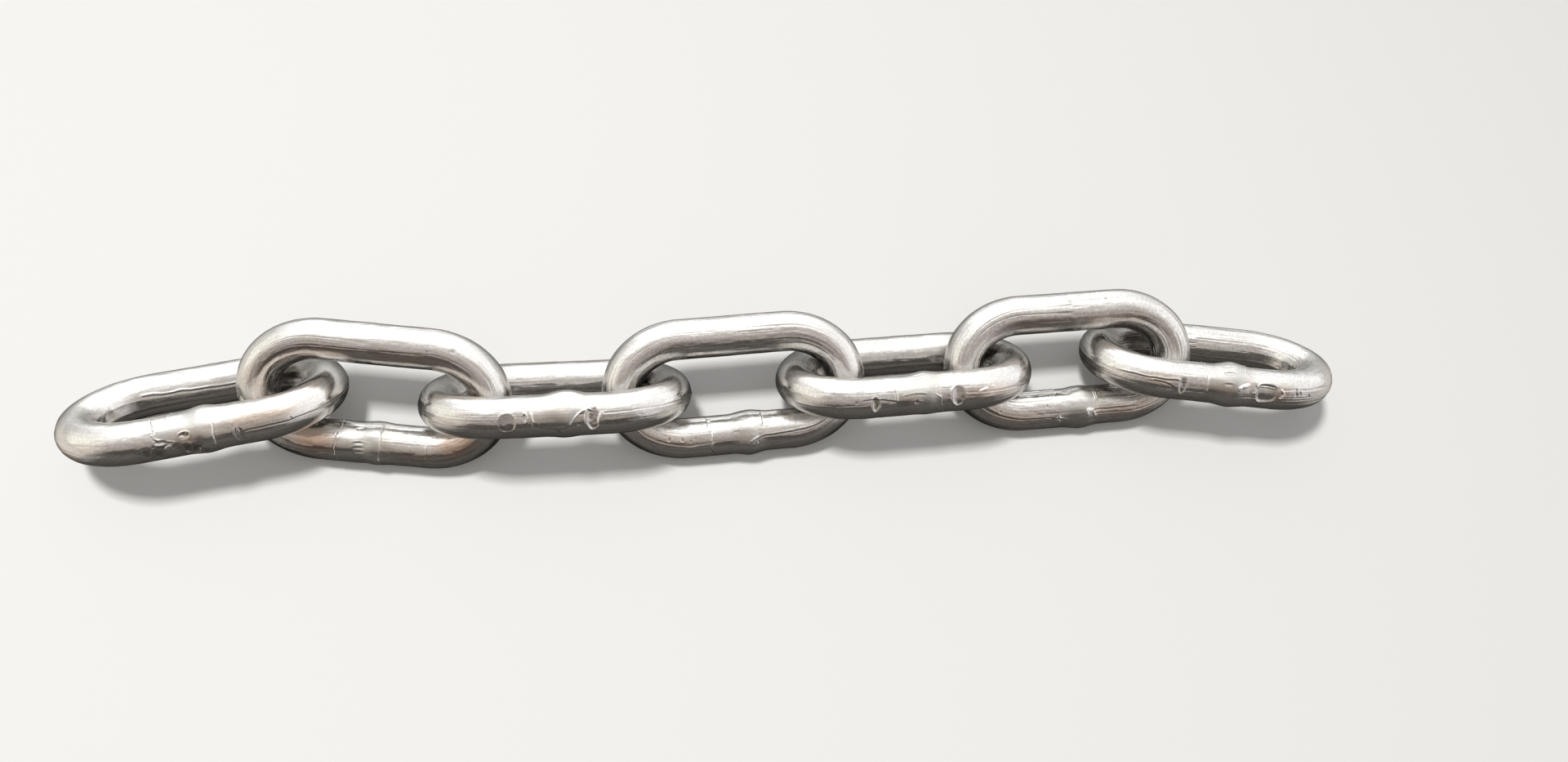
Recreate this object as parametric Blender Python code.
"""Seven-link welded stainless steel chain, long-link pattern.

Metres, +Z up. The chain runs along +X and lies on the plane z = 0, with the
origin at the bottom centre of its bounding box. Every link is one round wire,
bent to an oval and butt-welded to itself in the middle of one leg.

In a link's own axes X is its long axis, Y runs across it (the weld is in the
-Y leg) and Z is square to the plane of the oval.
"""
import math
from collections import namedtuple

import bpy
from mathutils import Matrix, Vector

# ---------------------------------------------------------------- dimensions
WIRE = 0.0060            # wire diameter
PITCH = 0.0276           # inside length of one link
WIDTH = 0.0208           # outside width of one link
CROWN = 1.22             # crown depth over half width: a little deeper than a half circle
COLLAR = 0.0003          # height of the weld collar over the wire
COLLAR_FLAT = 0.0030     # length of the collar's full-height part
COLLAR_LENGTH = 0.0080   # length of the whole collar
COLLAR_SHOULDER = 0.6    # share of the collar's height halfway down its slope
GAP = 0.0003             # clearance between two wires in contact
SIDES = 20               # flats round the wire's section, an even number
CROWN_STEPS = 10         # segments in each crown

WIRE_RADIUS = WIRE / 2
HALF_WIDTH = (WIDTH - WIRE) / 2              # leg centreline to long axis
HALF_LENGTH = (PITCH + WIRE) / 2             # crown centreline to link centre
CROWN_DEPTH = CROWN * HALF_WIDTH
HALF_STRAIGHT = HALF_LENGTH - CROWN_DEPTH    # half length of the straight legs

# How each link lies, from -X to +X:
#   turn   degrees about +Z
#   lean   degrees about its long axis; < 0 raises the welded leg, > 0 grounds it
#   slack  how far it is hung back from a taut contact with the link before
#   side   how far it is hung to the +Y side of the link before
Lay = namedtuple("Lay", "turn lean slack side")
LAYS = (
    Lay(9.0, -34.0, 0.0, 0.0),
    Lay(-9.0, 43.0, 0.0030, 0.0016),
    Lay(0.0, -42.0, 0.0014, -0.0003),
    Lay(2.5, 37.0, 0.0010, 0.0002),
    Lay(2.0, -37.0, 0.0014, -0.0003),
    Lay(2.0, 36.0, 0.0012, 0.0002),
    Lay(-9.5, -34.0, 0.0050, 0.0012),
)

# Bisection for the joint along a crown, from -PIVOT_REACH to +PIVOT_REACH radians
PIVOT_REACH = 1.2
PIVOT_HALVINGS = 60

STEEL_COLOUR = (0.62, 0.60, 0.57, 1.0)
STEEL_ROUGHNESS = 0.24


# ---------------------------------------------------------------- centreline
def crown_point(angle):
    """A point of the +X crown's centreline; angle 0 is its tip."""
    return Vector((HALF_STRAIGHT + CROWN_DEPTH * math.cos(angle),
                   HALF_WIDTH * math.sin(angle), 0.0))


def collar_points():
    """The welded leg, from -X to +X, as (point, radius factor) pairs."""
    slope = (
        # distance from the weld, radius factor
        (COLLAR_LENGTH / 2, 1.0),
        ((COLLAR_FLAT + COLLAR_LENGTH) / 4, 1.0 + COLLAR_SHOULDER * COLLAR / WIRE_RADIUS),
        (COLLAR_FLAT / 2, 1.0 + COLLAR / WIRE_RADIUS),
    )
    stations = [(-x, factor) for x, factor in slope] + list(reversed(slope))
    return [(Vector((x, -HALF_WIDTH, 0.0)), factor) for x, factor in stations]


def oval_points():
    """The link's centreline, anticlockwise, as (point, radius factor) pairs."""
    crown = [crown_point(-math.pi / 2 + math.pi * i / CROWN_STEPS)
             for i in range(CROWN_STEPS + 1)]
    far_crown = [-point for point in crown]
    return collar_points() + [(point, 1.0) for point in crown + far_crown]


# -------------------------------------------------------------------- layout
def rest_height(lean):
    """Height of a link's centre when a flat of its lower leg is on the ground."""
    leg_radius = WIRE_RADIUS + COLLAR if lean > 0 else WIRE_RADIUS
    return (leg_radius * math.cos(math.pi / SIDES)
            + HALF_WIDTH * abs(math.sin(math.radians(lean))))


def long_axis(frame):
    """World direction of a link's long axis, which is always level."""
    return frame.to_3x3() @ Vector((1, 0, 0))


def hung_centre(previous, rotation, lay):
    """Centre of a link whose -X crown hangs in the previous link's +X crown."""
    along = long_axis(previous)
    across = Vector((-along.y, along.x, 0.0))
    eye = (previous.translation
           + (HALF_LENGTH - WIRE - GAP - lay.slack) * along
           + lay.side * across)
    return eye + HALF_LENGTH * long_axis(rotation)


def lay_out():
    """World matrix of each link, each one hung in the eye of the one before."""
    frames = []
    for lay in LAYS:
        rotation = (Matrix.Rotation(math.radians(lay.turn), 4, 'Z')
                    @ Matrix.Rotation(math.radians(lay.lean), 4, 'X'))
        centre = hung_centre(frames[-1], rotation, lay) if frames else Vector((0, 0, 0))
        centre.z = rest_height(lay.lean)
        frames.append(Matrix.Translation(centre) @ rotation)
    shift = Matrix.Translation(-middle(frames))
    return [shift @ frame for frame in frames]


def middle(frames):
    """Centre in X and Y, at z = 0, of the box round all the centrelines."""
    points = [frame @ point for frame in frames for point, _ in oval_points()]
    xs = [point.x for point in points]
    ys = [point.y for point in points]
    return Vector(((min(xs) + max(xs)) / 2, (min(ys) + max(ys)) / 2, 0.0))


def pivot_point(previous, frame):
    """Where the previous link's +X crown passes through the plane of this link."""
    normal = frame.to_3x3() @ Vector((0, 0, 1))

    def height(angle):
        return (previous @ crown_point(angle) - frame.translation).dot(normal)

    low, high = -PIVOT_REACH, PIVOT_REACH
    rising = height(high) > height(low)
    for _ in range(PIVOT_HALVINGS):
        mid = (low + high) / 2
        if (height(mid) > 0) == rising:
            high = mid
        else:
            low = mid
    return previous @ crown_point((low + high) / 2)


# ------------------------------------------------------------------- objects
def steel(name):
    material = bpy.data.materials.new(name)
    material.use_nodes = True
    shader = material.node_tree.nodes["Principled BSDF"]
    shader.inputs["Base Color"].default_value = STEEL_COLOUR
    shader.inputs["Roughness"].default_value = STEEL_ROUGHNESS
    shader.inputs["Metallic"].default_value = 1.0
    return material


def facet_tilt(lean):
    """Turn of the section that leaves one facet of the lower leg level."""
    facet = 2 * math.pi / SIDES
    return (facet / 2 - abs(math.radians(lean))) % facet


def add_link(name, lean, collection):
    """One closed wire: a cyclic centreline with a round section."""
    curve = bpy.data.curves.new(name, 'CURVE')
    curve.dimensions = '3D'
    curve.twist_mode = 'Z_UP'
    curve.bevel_depth = WIRE_RADIUS
    curve.bevel_resolution = SIDES // 2 - 2   # Blender makes 2 * resolution + 4 sides
    stations = oval_points()
    spline = curve.splines.new('POLY')
    spline.points.add(len(stations) - 1)      # a new spline already has one point
    spline.use_cyclic_u = True
    spline.use_smooth = True
    for point, (position, factor) in zip(spline.points, stations):
        point.co = (*position, 1.0)
        point.radius = factor
        point.tilt = facet_tilt(lean)
    curve.materials.append(steel(name + "_stainless"))
    link = bpy.data.objects.new(name, curve)
    collection.objects.link(link)
    return link


def add_empty(name, collection):
    empty = bpy.data.objects.new(name, None)
    empty.empty_display_size = WIRE
    empty.hide_render = True
    collection.objects.link(empty)
    return empty


def attach(child, child_world, parent, parent_world):
    """Parent an object so that it stands at its own world matrix."""
    child.parent = parent
    child.matrix_local = parent_world.inverted() @ child_world


def add_collection(name):
    collection = bpy.data.collections.new(name)
    bpy.context.scene.collection.children.link(collection)
    return collection


def main():
    for obj in list(bpy.data.objects):
        bpy.data.objects.remove(obj, do_unlink=True)
    parts = add_collection("stainless_chain")
    guides = add_collection("guides")

    # The first link hangs on the root, every other one on its own pivot,
    # and each pivot on the one before.
    holder, holder_world = add_empty("chain_root", guides), Matrix.Identity(4)
    previous = None
    for number, (lay, frame) in enumerate(zip(LAYS, lay_out()), start=1):
        if previous is not None:
            # The pivot's origin is on the joint, and its axes are the link's.
            pivot = add_empty(f"pivot_{number}", guides)
            pivot_world = frame.copy()
            pivot_world.translation = pivot_point(previous, frame)
            attach(pivot, pivot_world, holder, holder_world)
            holder, holder_world = pivot, pivot_world
        link = add_link(f"link_{number}", lay.lean, parts)
        attach(link, frame, holder, holder_world)
        previous = frame
    bpy.context.view_layer.update()


main()
